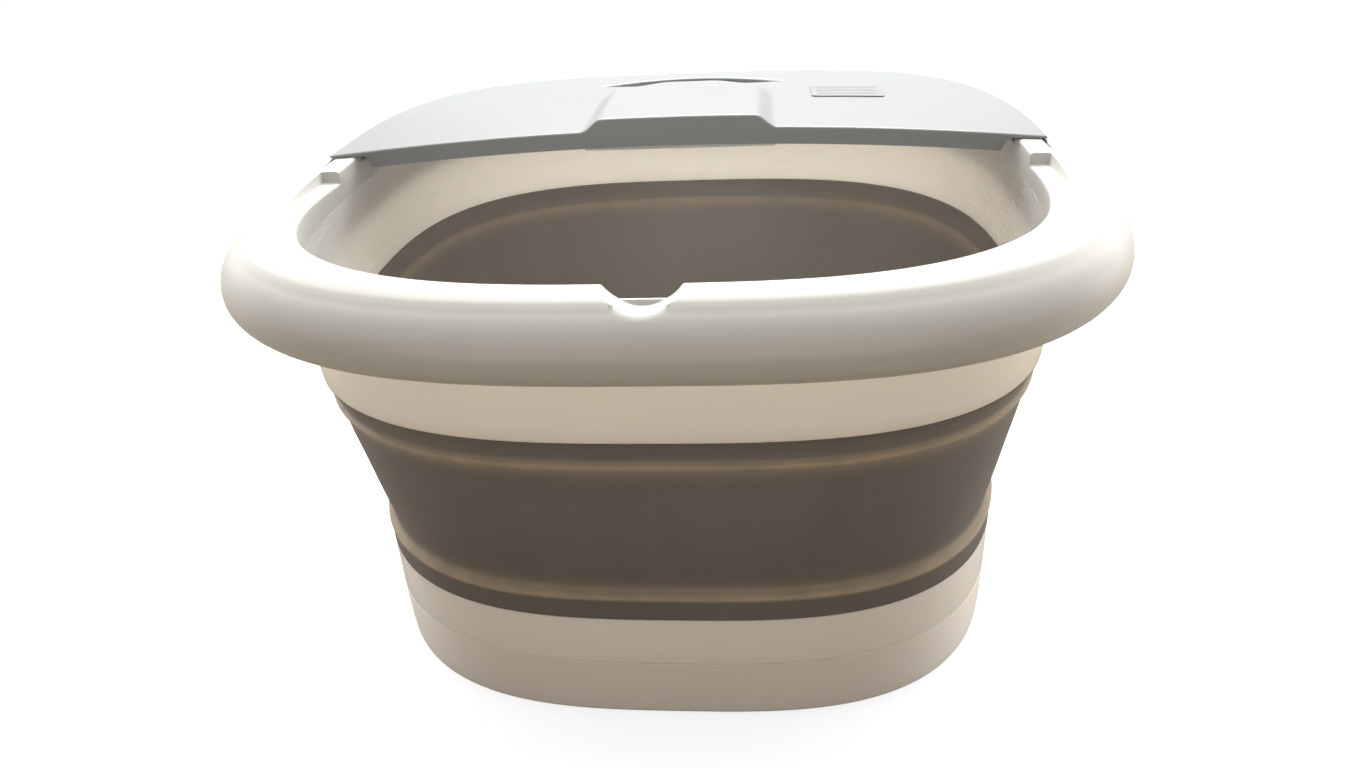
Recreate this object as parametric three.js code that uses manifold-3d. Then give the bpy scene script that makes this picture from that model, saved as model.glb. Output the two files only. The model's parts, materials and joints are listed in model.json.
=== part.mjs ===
import * as THREE from 'three';
import { mergeVertices } from 'three/addons/utils/BufferGeometryUtils.js';
import Module from 'manifold-3d';

// Folding foot spa basin.
// Millimetres, +Z up, +Y towards the rear deck, origin at the middle of the footprint on the floor.

const wasm = await Module();
wasm.setup();

// Driving dimensions
const HALF_W = 200;
const HALF_D = 190;
const PLAN_POWER = 3;
const PLAN_STEPS = 64;
const GAP = 0.3;

const BASE_BOTTOM_Z = 0.6;
const PARTING_Z = 34.2;
const TUB_TOP_Z = 60.4;
const BAND_TOP_Z = 163.2;
const BAND_WALL = 2.4;

const RIM_CENTRE_Z = 211.9;
const RIM_HALF_H = 14.9;
const RIM_HALF_W = 19.6;
const RIM_SKIN = 2.6;
const RIM_INNER_W = 166;
const RIM_INNER_D = 168.5;
const RIM_FRONT_Z = 233;
const RIM_SIDE_Z = 230.5;
const SKIRT_Z = 216;

const LEDGE_OUTER_W = 175;
const LEDGE_Z = 225;
const LEDGE_START_Y = -21;
const SEAT_Z = 227;
const SEAT_START_Y = 9;

const DECK_W = 179.5;
const DECK_D = 176.2;
const DECK_EDGE_Z = 231;
const DECK_FRONT_Z = 238.9;
const DECK_FRONT_Y = 9;
const DECK_FRONT_BOW = 7;
const DECK_SKIN = 3;
const DECK_LIP = 8.5;
const BLOCK_HALF_W = 38.5;
const BLOCK_SLOPE = 11;
const BLOCK_RISE = 6;
const BLOCK_END_Y = 78;
const SLOT_HALF_W = 55;
const SLOT_Y = 127;
const SLOT_FRONT_BOW = 6;
const SLOT_REAR_BOW = 20;
const GRIP_RISE = 3.2;

const FLOOR_TOP_Z = 38;
const FLOOR_BOTTOM_Z = 35;
const ROLLER_R = 10;
const ROLLER_LENGTH = 80;
const ROLLER_Z = 50.2;
const ROLLER_X = 64;
const ROLLER_YS = [-22, 28];
const AXLE_R = 3;
const AXLE_LENGTH = 98;
const EAR_THICKNESS = 6;

const BUTTON_R = 7;
const BUTTON_Z = 19;
const BUTTON_XS = [-62, -40];
const INLET_X = 40;
const INLET_Z = 17;

const COLOURS = {
  glossWhite: [0xf4f4f0, 0.22, 0],
  deckWhite: [0xeef0f0, 0.3, 0],
  bandGrey: [0x6a635d, 0.55, 0],
  labelGrey: [0xdcdedd, 0.5, 0],
  rollerGrey: [0xb9b6b0, 0.4, 0],
  darkPlastic: [0x2b2c2e, 0.5, 0],
  rubber: [0x3a3a3b, 0.85, 0],
  steel: [0xb8babd, 0.35, 1],
  aluminium: [0xc9cbcd, 0.4, 1],
  board: [0x2f6b45, 0.6, 0],
};

const group = new THREE.Group();
group.name = 'foot_spa';

// ---------------------------------------------------------------- helpers

function toManifold(geometry) {
  const g = geometry.clone();
  g.deleteAttribute('normal');
  g.deleteAttribute('uv');
  const merged = mergeVertices(g, 1e-4);
  const source = merged.index.array;
  const p = merged.attributes.position.array;
  const kept = [];
  let volume = 0;
  for (let i = 0; i < source.length; i += 3) {
    const [a, b, c] = [source[i], source[i + 1], source[i + 2]];
    if (a === b || b === c || a === c) continue;
    kept.push(a, b, c);
    const va = new THREE.Vector3().fromArray(p, a * 3);
    const vb = new THREE.Vector3().fromArray(p, b * 3);
    const vc = new THREE.Vector3().fromArray(p, c * 3);
    volume += va.dot(vb.cross(vc));
  }
  if (volume < 0) kept.reverse();
  return new wasm.Manifold(new wasm.Mesh({
    numProp: 3,
    vertProperties: new Float32Array(p),
    triVerts: new Uint32Array(kept),
  }));
}

function add(name, solid, look) {
  const m = solid.getMesh();
  const geometry = new THREE.BufferGeometry();
  geometry.setAttribute('position', new THREE.BufferAttribute(new Float32Array(m.vertProperties), 3));
  geometry.setIndex(new THREE.BufferAttribute(new Uint32Array(m.triVerts), 1));
  geometry.computeVertexNormals();
  const [color, roughness, metalness] = COLOURS[look];
  const mesh = new THREE.Mesh(geometry, new THREE.MeshStandardMaterial({ color, roughness, metalness }));
  mesh.name = name;
  group.add(mesh);
}

// A point of the rounded plan outline with the given half width and half depth.
function planPoint(halfW, halfD, angle) {
  const c = Math.cos(angle);
  const s = Math.sin(angle);
  const f = (Math.abs(c) ** PLAN_POWER + Math.abs(s) ** PLAN_POWER) ** (-1 / PLAN_POWER);
  return [halfW * c * f, halfD * s * f];
}

// A solid of plan-shaped rings. Each entry of rings is [half width, half depth, z].
// A list that ends where it began makes a closed ring; one that starts and ends on the axis makes a cup.
function rings(list, lift = (x, y, z) => z, steps = PLAN_STEPS) {
  const points = list.map(([w, , z]) => new THREE.Vector2(w, z));
  const geometry = new THREE.LatheGeometry(points, steps);
  const position = geometry.attributes.position;
  for (let i = 0; i <= steps; i++) {
    const angle = 2 * Math.PI * (i % steps) / steps;
    for (let j = 0; j < list.length; j++) {
      const [w, d, z] = list[j];
      const [x, y] = planPoint(w, d, angle);
      position.setXYZ(i * list.length + j, x, y, lift(x, y, z));
    }
  }
  return toManifold(geometry);
}

// Half width and half depth of an outline drawn in from the rim's outermost outline.
function inset(d, z) {
  return [HALF_W + d, HALF_D + d, z];
}

function box(x0, x1, y0, y1, z0, z1) {
  const g = new THREE.BoxGeometry(x1 - x0, y1 - y0, z1 - z0);
  g.translate((x0 + x1) / 2, (y0 + y1) / 2, (z0 + z1) / 2);
  return toManifold(g);
}

// A cylinder along axis 'x', 'y' or 'z' from one coordinate on that axis to another.
function rod(axis, r, from, to, u, v, steps = 24) {
  const g = new THREE.CylinderGeometry(r, r, to - from, steps);
  if (axis === 'x') g.rotateZ(-Math.PI / 2);
  if (axis === 'z') g.rotateX(Math.PI / 2);
  const mid = (from + to) / 2;
  if (axis === 'x') g.translate(mid, u, v);
  if (axis === 'y') g.translate(u, mid, v);
  if (axis === 'z') g.translate(u, v, mid);
  return toManifold(g);
}

function prism(shape, z0, z1, steps = 12) {
  const g = new THREE.ExtrudeGeometry(shape, { depth: z1 - z0, bevelEnabled: false, curveSegments: steps });
  g.translate(0, 0, z0);
  return toManifold(g);
}

function lerp(a, b, t) {
  return a + (b - a) * t;
}

function smooth(from, to, value) {
  const t = Math.min(1, Math.max(0, (value - from) / (to - from)));
  return t * t * (3 - 2 * t);
}

function union(...solids) {
  return solids.reduce((a, b) => a.add(b));
}

// ---------------------------------------------------------------- upper frame

function rimTopZ(y) {
  return lerp(RIM_SIDE_Z, RIM_FRONT_Z, smooth(-60, -160, y));
}

// The rim's roll: a half-ellipse section from the tucked lower lip over the outside to the top.
function rollPoint(degrees, skin) {
  const a = THREE.MathUtils.degToRad(degrees);
  const d = -RIM_HALF_W + (RIM_HALF_W - skin) * Math.cos(a);
  return inset(d, RIM_CENTRE_Z + (RIM_HALF_H - skin) * Math.sin(a));
}

function rimOuter() {
  const roll = [-95, -75, -50, -25, 0, 22, 42, 60].map((a) => rollPoint(a, 0));
  return [...roll, inset(-14.5, 227.3), inset(-19.5, 229.3), [176, 169.8, 230.2]];
}

function rimLift(x, y, z) {
  const raise = rimTopZ(y) - RIM_SIDE_Z;
  return z + raise * smooth(226, 230, z);
}

function rimShell() {
  const inner = [60, 42, 22, 0, -25, -50, -75, -93].map((a) => rollPoint(a, RIM_SKIN));
  const loop = [
    ...rimOuter(),
    [168, 168.9, RIM_SIDE_Z],
    [166.4, 168.6, RIM_SIDE_Z - 0.5],
    [RIM_INNER_W, RIM_INNER_D, RIM_SIDE_Z - 1.6],
    [RIM_INNER_W + 0.6, RIM_INNER_D - 0.9, SKIRT_Z],
    [RIM_INNER_W + 3.2, RIM_INNER_D + 1.9, SKIRT_Z],
    [RIM_INNER_W + 3.2, RIM_INNER_D + 2.2, 221.4],
    inset(-17.6, 222.6),
    ...inner,
  ];
  loop.push(loop[0]);
  return rings(loop, rimLift);
}

// The rim's inside filled in, for the places where its skin is locally thick.
function rimFill() {
  const outer = [0, 22, 42, 60].map((a) => rollPoint(a, 0.8));
  const loop = [
    [RIM_INNER_W + 1, RIM_INNER_D + 0.6, SKIRT_Z],
    ...outer.map(([w, d, z]) => [w, d, Math.max(z, SKIRT_Z)]).slice(1),
    inset(-14.5, 226.3),
    inset(-19.5, 228.3),
    [168, 169.2, 229.4],
    [RIM_INNER_W + 1, RIM_INNER_D + 0.6, 229],
  ];
  loop.push(loop[0]);
  return rings(loop, rimLift);
}

// The pouring scoop in the front of the rim: a round channel with a flat inner lip.
function scoopCutter() {
  const slope = THREE.MathUtils.degToRad(7);
  const g = new THREE.CylinderGeometry(17, 17, 60, 40);
  g.rotateX(slope);
  g.translate(0, -178, 241.2);
  const lip = box(-30, 30, -168.5, -150, 200, 227.5);
  return toManifold(g).subtract(lip);
}

// The rebate along the inside of each side, where a front cover would rest.
function ledgeCutter() {
  const bottom = LEDGE_Z;
  const loop = [
    [LEDGE_OUTER_W - 30, LEDGE_OUTER_W - 32, bottom],
    [LEDGE_OUTER_W, LEDGE_OUTER_W - 1, bottom],
    [LEDGE_OUTER_W + 0.8, LEDGE_OUTER_W, 260],
    [LEDGE_OUTER_W - 30, LEDGE_OUTER_W - 32, 260],
  ];
  loop.push(loop[0]);
  const rise = (x, y, z) => (z > 250 ? z : z + 8.2 * Math.max(0, (LEDGE_START_Y - y) / 120));
  return rings(loop, rise).intersect(box(-220, 220, -140, LEDGE_START_Y, 200, 270));
}

// The seat under the rear deck, behind the corner bosses.
function seatCutter() {
  const loop = [
    [140, 140, SEAT_Z],
    [DECK_W + 0.6, DECK_D + 0.6, SEAT_Z],
    [DECK_W + 0.6, DECK_D + 0.6, 260],
    [140, 140, 260],
  ];
  loop.push(loop[0]);
  return rings(loop).intersect(box(-220, 220, SEAT_START_Y, 220, 200, 270));
}

// The narrow slit between each corner boss and the rim's outer rise.
function slitCutter() {
  const loop = [
    [177.4, 176.4, 227.6],
    [178.9, 177.9, 227.6],
    [178.9, 177.9, 260],
    [177.4, 176.4, 260],
  ];
  loop.push(loop[0]);
  return rings(loop).intersect(box(-220, 220, -12, SEAT_START_Y, 200, 270));
}

function makeRim() {
  const thick = union(
    box(-24, 24, -200, -150, SKIRT_Z, 240),
    box(-190, -150, -150, 30, SKIRT_Z, 240),
    box(150, 190, -150, 30, SKIRT_Z, 240),
  );
  const seatFloor = rings([
    [RIM_INNER_W + 1, RIM_INNER_D + 0.6, 222.6],
    inset(-14, 222.6),
    inset(-14, 226),
    [RIM_INNER_W + 1, RIM_INNER_D + 0.6, 226],
    [RIM_INNER_W + 1, RIM_INNER_D + 0.6, 222.6],
  ]).intersect(box(-220, 220, 0, 220, 200, 270));
  let rim = rimShell().add(rimFill().intersect(thick)).add(seatFloor);
  for (const cutter of [scoopCutter(), ledgeCutter(), seatCutter(), slitCutter()]) {
    rim = rim.subtract(cutter);
  }
  add('rim_frame', rim, 'glossWhite');
}

function makeCollar() {
  const loop = [
    [173.1, 163.1, BAND_TOP_Z + GAP],
    [173.4, 165.4, 188],
    [170.6, 169.2, 212],
    [191, 181, 212.6],
    [191, 181, SKIRT_Z - GAP],
    [RIM_INNER_W + 0.6, RIM_INNER_D - 0.9, SKIRT_Z - GAP],
    [169.4, 163.6, 188],
    [170.1, 160.1, BAND_TOP_Z + GAP],
  ];
  loop.push(loop[0]);
  add('upper_collar', rings(loop), 'glossWhite');
}

// ---------------------------------------------------------------- folding band

function makeBand() {
  const outer = [
    inset(-39.4, TUB_TOP_Z + GAP),
    inset(-39.8, 69),
    inset(-38.5, 72.6),
    inset(-41.8, 78.5),
    inset(-37.2, 112),
    inset(-31.3, 146),
    inset(-28.9, 150.2),
    inset(-29.4, 154),
    inset(-26.9, BAND_TOP_Z),
  ];
  const inner = [
    inset(-29.9, BAND_TOP_Z),
    inset(-31.8, 154),
    inset(-32.4, 150.2),
    inset(-34, 146),
    inset(-37.2 - BAND_WALL, 112),
    inset(-41.8 - BAND_WALL, 78.5),
    inset(-42.2, 69),
    inset(-42.4, TUB_TOP_Z + GAP),
  ];
  const loop = [...outer, ...inner];
  loop.push(loop[0]);
  add('folding_band', rings(loop), 'bandGrey');
}

// ---------------------------------------------------------------- lower tub

function eachRoller(callback) {
  let index = 1;
  for (const side of [-1, 1]) {
    for (const y of ROLLER_YS) {
      callback(index, side * ROLLER_X, y);
      index += 1;
    }
  }
}

function coverScrewSpots() {
  return [[-110, -78], [110, -78], [-110, 78], [110, 78]];
}

function makeTub() {
  const cup = [
    [0, 0, FLOOR_BOTTOM_Z],
    [148, 138, FLOOR_BOTTOM_Z],
    [157.4, 147.4, PARTING_Z],
    [160.8, 150.8, PARTING_Z],
    [160.6, 150.6, TUB_TOP_Z],
    [157.6, 147.6, TUB_TOP_Z],
    [157.2, 147.2, 46],
    [154, 144, 40],
    [148, 138, FLOOR_TOP_Z],
    [0, 0, FLOOR_TOP_Z],
  ];
  let tub = rings(cup);
  eachRoller((index, x, y) => {
    for (const side of [-1, 1]) {
      const near = x + side * (ROLLER_LENGTH / 2 + 1.2);
      const far = near + side * EAR_THICKNESS;
      const ear = box(Math.min(near, far), Math.max(near, far), y - 7, y + 7, FLOOR_TOP_Z - 1, ROLLER_Z + 5);
      tub = tub.add(ear);
    }
    const reach = AXLE_LENGTH / 2 + 8;
    tub = tub.subtract(rod('x', AXLE_R + 0.1, x - reach, x + reach, y, ROLLER_Z));
  });
  for (const [x, y] of coverScrewSpots()) {
    tub = tub.add(rod('z', 4.5, 6, FLOOR_BOTTOM_Z + 1, x, y));
    tub = tub.subtract(rod('z', 1.6, 4, 22, x, y, 16));
  }
  tub = tub.subtract(rod('z', 2.1, 30, 41, 0, 30, 16));
  add('lower_tub', tub, 'glossWhite');
}

function rollerShape() {
  const lobes = 6;
  const shape = new THREE.Shape();
  for (let i = 0; i < lobes * 4; i++) {
    const a = 2 * Math.PI * i / (lobes * 4);
    const r = ROLLER_R - 1.3 + 1.3 * Math.cos(lobes * a);
    if (i === 0) shape.moveTo(r, 0);
    else shape.lineTo(r * Math.cos(a), r * Math.sin(a));
  }
  shape.closePath();
  return shape;
}

// One lobed drum of a roller, from one x to another.
function rollerDrum(x0, x1, y) {
  const g = new THREE.ExtrudeGeometry(rollerShape(), { depth: x1 - x0, bevelEnabled: false });
  g.rotateY(Math.PI / 2);
  g.translate(x0, y, ROLLER_Z);
  return toManifold(g);
}

function makeRollers() {
  eachRoller((index, x, y) => {
    const end = ROLLER_LENGTH / 2;
    let roller = rod('x', ROLLER_R - 3.6, x - end, x + end, y, ROLLER_Z, 16);
    for (const [from, to] of [[-end, -15.5], [-12.5, 12.5], [15.5, end]]) {
      roller = roller.add(rollerDrum(x + from, x + to, y));
    }
    const bore = rod('x', AXLE_R + 0.15, x - 50, x + 50, y, ROLLER_Z);
    add(`roller_${index}`, roller.subtract(bore), 'rollerGrey');
    const axle = rod('x', AXLE_R, x - AXLE_LENGTH / 2, x + AXLE_LENGTH / 2, y, ROLLER_Z);
    add(`roller_axle_${index}`, axle, 'steel');
  });
}

function makeBubbleStrip() {
  let strip = box(-7, 7, -70, 70, FLOOR_TOP_Z + GAP, FLOOR_TOP_Z + 5);
  strip = strip.subtract(box(-4.5, 4.5, -66, 66, FLOOR_TOP_Z - 2, FLOOR_TOP_Z + 3));
  for (let i = 0; i < 7; i++) {
    strip = strip.subtract(rod('z', 1, 30, 50, 0, -54 + 18 * i, 10));
  }
  add('bubble_strip', strip, 'rollerGrey');
}

// ---------------------------------------------------------------- base

function footSpots() {
  return [[-117, -109], [117, -109], [-117, 109], [117, 109]];
}

function makeBase() {
  const loop = [
    [138, 128, BASE_BOTTOM_Z],
    [158.4, 148.4, BASE_BOTTOM_Z],
    [160, 150, 1.6],
    [160.7, 150.7, 4.2],
    [161, 151, 10],
    [161, 151, PARTING_Z - GAP],
    [158, 148, PARTING_Z - GAP],
    [157, 147, 10],
    [155, 145, 5],
    [138, 128, 5],
  ];
  loop.push(loop[0]);
  let base = rings(loop);
  for (const [x, y] of footSpots()) {
    base = base.add(rod('z', 9, 2.2, 5, x, y)).subtract(rod('z', 7.3, 0, 3.6, x, y));
  }
  for (const x of BUTTON_XS) {
    base = base.subtract(rod('y', BUTTON_R + GAP, 130, 170, x, BUTTON_Z));
  }
  base = base.subtract(box(INLET_X - 13.3, INLET_X + 13.3, 130, 170, INLET_Z - 8.3, INLET_Z + 8.3));
  add('base_shell', base, 'glossWhite');
}

function makeCover() {
  let cover = rings([[0, 0, BASE_BOTTOM_Z], [137.7, 127.7, BASE_BOTTOM_Z], [137.7, 127.7, 4.5], [0, 0, 4.5]]);
  for (let i = 0; i < 6; i++) {
    const x = -25 + 10 * i;
    cover = cover.subtract(box(x - 1.5, x + 1.5, 60, 90, 0, 6));
  }
  for (const [x, y] of coverScrewSpots()) {
    cover = cover.subtract(rod('z', 1.8, 0, 6, x, y, 16));
    cover = cover.subtract(rod('z', 3.6, 0, 3, x, y, 16));
  }
  add('base_cover', cover, 'glossWhite');
}

function makeFeet() {
  footSpots().forEach(([x, y], i) => add(`foot_${i + 1}`, rod('z', 7, 0, 3.3, x, y, 28), 'rubber'));
}

// A round-headed screw, head down, with its shank pointing up.
function screw(x, y, headZ, shankTop) {
  return rod('z', 3.2, headZ, headZ + 1.1, x, y, 16).add(rod('z', 1.5, headZ + 0.5, shankTop, x, y, 16));
}

function makeScrews() {
  coverScrewSpots().forEach(([x, y], i) => add(`cover_screw_${i + 1}`, screw(x, y, 1.7, 18), 'steel'));
}

// ---------------------------------------------------------------- inside the base

function makeHeater() {
  const plate = rings([[0, 0, 32.4], [70, 50, 32.4], [70, 50, 34.7], [0, 0, 34.7]], undefined, 32);
  add('heater_plate', plate.translate(0, -62, 0), 'aluminium');
  const can = rod('z', 7, 25, 32.1, 0, -62).add(rod('z', 9, 30.6, 32.1, 0, -62));
  add('thermostat', can.add(box(-1.5, 1.5, -59, -57, 20, 26)), 'steel');
}

function makePump() {
  const body = box(-24, 24, 44, 96, 6, 28);
  const neck = rod('y', 2.9, 40, 46, 0, 24);
  add('air_pump', body.add(neck).subtract(rod('y', 1.2, 38, 50, 0, 24, 12)), 'darkPlastic');
}

function makeHose() {
  const path = new THREE.CatmullRomCurve3([
    new THREE.Vector3(0, 39.7, 24),
    new THREE.Vector3(0, 37, 24),
    new THREE.Vector3(0, 31.6, 25.6),
    new THREE.Vector3(0, 30, 30),
    new THREE.Vector3(0, 30, 38),
  ]);
  const shape = new THREE.Shape();
  shape.absarc(0, 0, 1.8, 0, 2 * Math.PI);
  const g = new THREE.ExtrudeGeometry(shape, { steps: 14, extrudePath: path, curveSegments: 5 });
  add('air_hose', toManifold(g), 'darkPlastic');
}

function makeBoard() {
  let board = box(-76, -14, 106, 128, 22, 23.6);
  board = board.add(box(-60, -50, 110, 120, 23, 29)).add(box(-40, -26, 110, 122, 23, 30));
  add('control_board', board, 'board');
}

function rearWallY(x) {
  return (HALF_D - 39.6) * (1 - (Math.abs(x) / (HALF_W - 39.6)) ** PLAN_POWER) ** (1 / PLAN_POWER);
}

function makeButtons() {
  const names = ['power_button', 'mode_button'];
  BUTTON_XS.forEach((x, i) => {
    const wall = rearWallY(x);
    const cap = rod('y', BUTTON_R, wall - 5, wall + 2, x, BUTTON_Z, 32);
    const flange = rod('y', BUTTON_R + 1.6, wall - 7.2, wall - 5, x, BUTTON_Z, 32);
    add(names[i], cap.add(flange), 'rollerGrey');
  });
}

function makeInlet() {
  const wall = rearWallY(INLET_X);
  const x = INLET_X;
  const z = INLET_Z;
  let body = box(x - 13, x + 13, wall - 24, wall + 1.4, z - 8, z + 8);
  body = body.add(box(x - 16, x + 16, wall + 1.4, wall + 3, z - 11, z + 11));
  const socket = union(
    rod('y', 4.6, wall - 20, wall + 5, x - 4.3, z),
    rod('y', 4.6, wall - 20, wall + 5, x + 4.3, z),
    box(x - 4.3, x + 4.3, wall - 20, wall + 5, z - 4.4, z + 4.4),
  );
  body = body.subtract(socket);
  for (const side of [-1, 1]) {
    body = body.subtract(rod('y', 1.25, wall - 30, wall, x + side * 4.3, z, 16));
  }
  add('mains_inlet', body, 'darkPlastic');
  for (const side of [-1, 1]) {
    const pin = rod('y', 1.15, wall - 27, wall - 8, x + side * 4.3, z, 16);
    add(side < 0 ? 'inlet_pin_left' : 'inlet_pin_right', pin, 'steel');
  }
}

// ---------------------------------------------------------------- rear deck

function deckFrontY(x) {
  return DECK_FRONT_Y - DECK_FRONT_BOW * (x / DECK_W) ** 2;
}

// Height of the deck's gently domed top, without its raised block.
function deckCrown(x, y) {
  const across = 230 + (DECK_FRONT_Z - 230) * (1 - Math.min(1, (x / HALF_W) ** 2));
  const back = Math.min(1, Math.max(0, (y - DECK_FRONT_Y) / (DECK_D - DECK_FRONT_Y)));
  return DECK_EDGE_Z + Math.max(0.6, across - DECK_EDGE_Z) * (1 - back * back);
}

function deckTop(x, y) {
  const blockX = 1 - smooth(BLOCK_HALF_W, BLOCK_HALF_W + BLOCK_SLOPE, Math.abs(x));
  const blockY = 1 - smooth(BLOCK_END_Y, BLOCK_END_Y + 30, y);
  const gripX = 1 - smooth(12, 36, Math.abs(x));
  const gripY = smooth(84, 110, y) * (1 - smooth(122, 132, y));
  return deckCrown(x, y) + BLOCK_RISE * blockX * blockY + GRIP_RISE * gripX * gripY;
}

// A slab of the deck's width whose top and bottom follow the given heights.
function deckSlab(top, bottom) {
  const reach = DECK_W + 2;
  const half = [reach, 150, 120, 92, 66, 50, 46, 42, 38, 30, 20, 11];
  const xs = [...half.map((x) => -x), 0, ...half.reverse()];
  const ys = [-3, 4, DECK_FRONT_Y, 20, 45, 78, 88, 98, 108, 117, 122, 127, 132, 145, 160, 179];
  const g = new THREE.BoxGeometry(1, 1, 1, xs.length - 1, ys.length - 1, 1);
  const position = g.attributes.position;
  for (let i = 0; i < position.count; i++) {
    const x = xs[Math.round((position.getX(i) + 0.5) * (xs.length - 1))];
    const y = ys[Math.round((position.getY(i) + 0.5) * (ys.length - 1))];
    position.setXYZ(i, x, y, position.getZ(i) > 0 ? top(x, y) : bottom(x, y));
  }
  return toManifold(g);
}

// The deck's plan outline, drawn in by the given amount.
function deckOutline(by) {
  const shape = new THREE.Shape();
  const w = DECK_W - by;
  const d = DECK_D - by;
  const steps = 12;
  for (let i = 0; i <= steps; i++) {
    const x = lerp(w, -w, i / steps);
    const y = deckFrontY(x) + by;
    if (i === 0) shape.moveTo(x, y);
    else shape.lineTo(x, y);
  }
  for (let i = 1; i < 40; i++) {
    const [x, y] = planPoint(w, d, Math.PI * (1 - i / 40));
    if (y > deckFrontY(x) + by) shape.lineTo(x, y);
  }
  shape.closePath();
  return shape;
}

function handSlot() {
  const shape = new THREE.Shape();
  shape.moveTo(-SLOT_HALF_W, SLOT_Y);
  shape.quadraticCurveTo(0, SLOT_Y - 2 * SLOT_FRONT_BOW, SLOT_HALF_W, SLOT_Y);
  shape.quadraticCurveTo(0, SLOT_Y + 2 * SLOT_REAR_BOW, -SLOT_HALF_W, SLOT_Y);
  return prism(shape, 200, 270, 8);
}

function makeDeck() {
  const outline = prism(deckOutline(0), 200, 260);
  const skin = deckSlab(deckTop, (x, y) => deckTop(x, y) - DECK_SKIN).intersect(outline);
  const frontWall = outline.subtract(prism(deckOutline(DECK_SKIN), 190, 270));
  const lip = deckSlab((x, y) => deckTop(x, y) - 1, (x, y) => deckCrown(x, y) - DECK_LIP);
  const frontLip = lip.intersect(frontWall).intersect(box(-158, 158, -20, 30, 200, 260));
  const seatRing = outline.subtract(prism(deckOutline(6), 190, 270));
  const edge = deckSlab((x, y) => deckTop(x, y) - 1, () => SEAT_Z + GAP).intersect(seatRing);
  const behind = box(-220, 220, SEAT_START_Y + 0.6, 220, 200, 260).subtract(box(-164, 164, -20, 60, 190, 270));
  const rearEdge = edge.intersect(behind);
  let deck = union(skin, frontLip, rearEdge);
  const arch = box(-181, -160, -20, SEAT_START_Y + 0.6, 200, RIM_SIDE_Z + 0.35);
  const archRight = box(160, 181, -20, SEAT_START_Y + 0.6, 200, RIM_SIDE_Z + 0.35);
  deck = deck.subtract(arch).subtract(archRight).subtract(handSlot());
  add('rear_deck', deck, 'deckWhite');
}

function makeLatchStrip() {
  const plate = box(-48.5, 48.5, 12.6, 14.4, 227.8, 234.6);
  add('latch_strip', plate.add(box(-1.5, 1.5, 11.9, 13, 227.8, 229.2)), 'glossWhite');
}

function makeLabel() {
  const area = box(70, 110, 75, 104, 200, 260);
  const sheet = deckSlab((x, y) => deckTop(x, y) + 0.55, (x, y) => deckTop(x, y) + 0.3);
  add('label_plate', sheet.intersect(area), 'labelGrey');
}

makeRim();
makeCollar();
makeBand();
makeTub();
makeRollers();
makeBubbleStrip();
makeBase();
makeCover();
makeFeet();
makeScrews();
makeHeater();
makePump();
makeHose();
makeBoard();
makeButtons();
makeInlet();
makeDeck();
makeLatchStrip();
makeLabel();

export default group;
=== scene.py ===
import json
import math

import bmesh
import bpy
from mathutils import Matrix, Vector, geometry


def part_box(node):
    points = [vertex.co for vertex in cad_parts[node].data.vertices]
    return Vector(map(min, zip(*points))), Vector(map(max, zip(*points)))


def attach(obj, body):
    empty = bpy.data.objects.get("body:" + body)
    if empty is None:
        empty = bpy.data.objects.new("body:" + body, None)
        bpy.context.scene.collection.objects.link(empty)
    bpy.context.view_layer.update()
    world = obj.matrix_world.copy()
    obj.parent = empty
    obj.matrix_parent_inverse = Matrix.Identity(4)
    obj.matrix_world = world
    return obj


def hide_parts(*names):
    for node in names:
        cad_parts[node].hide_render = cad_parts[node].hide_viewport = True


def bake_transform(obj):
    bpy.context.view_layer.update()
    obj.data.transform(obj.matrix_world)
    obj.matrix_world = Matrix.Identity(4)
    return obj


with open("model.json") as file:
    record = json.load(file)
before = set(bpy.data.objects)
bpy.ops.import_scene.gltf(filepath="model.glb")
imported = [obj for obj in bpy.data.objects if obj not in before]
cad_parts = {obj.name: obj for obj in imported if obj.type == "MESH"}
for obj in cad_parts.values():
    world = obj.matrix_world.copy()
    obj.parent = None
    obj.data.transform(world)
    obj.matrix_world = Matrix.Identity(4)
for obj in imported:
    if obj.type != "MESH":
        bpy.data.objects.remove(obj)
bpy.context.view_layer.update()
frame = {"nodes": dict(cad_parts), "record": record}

MM = 0.001
TAU = 2 * math.pi


# ------------------------------------------------------------------ sizes, in mm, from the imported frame

def node_box(name):
    low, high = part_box(name)
    return [v / MM for v in low], [v / MM for v in high]


RIM_LOW, RIM_HIGH = node_box("rim_frame")
BAND_LOW, BAND_HIGH = node_box("folding_band")
TUB_TOP = node_box("lower_tub")[1][2]
SHELL_LOW, SHELL_HIGH = node_box("base_shell")
DECK_HIGH = node_box("rear_deck")[1]
HALF_W = RIM_HIGH[0]
HALF_D = RIM_HIGH[1]
RIM_BOTTOM = RIM_LOW[2]
RIM_TOP = RIM_HIGH[2]
DECK_W = DECK_HIGH[0]
DECK_D = DECK_HIGH[1]
SHELL_TOP = SHELL_HIGH[2]
SEAM = 0.3
PLAN_POWER = 3.0


# ------------------------------------------------------------------ small maths

def lerp(a, b, t):
    return a + (b - a) * t


def smooth(start, end, value):
    t = min(1.0, max(0.0, (value - start) / (end - start)))
    return t * t * (3 - 2 * t)


def soft_min(a, b, k):
    h = max(0.0, k - abs(a - b)) / k
    return min(a, b) - h * h * k * 0.25


def plan(half_w, half_d, angle):
    """A point of the basin's rounded plan outline."""
    c, s = math.cos(angle), math.sin(angle)
    f = (abs(c) ** PLAN_POWER + abs(s) ** PLAN_POWER) ** (-1 / PLAN_POWER)
    return half_w * c * f, half_d * s * f


def inset(d, z, r=0.0):
    """A profile point at d from the outermost outline, negative inwards, with a corner radius."""
    return (HALF_W + d, HALF_D + d, z, r)


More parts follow.
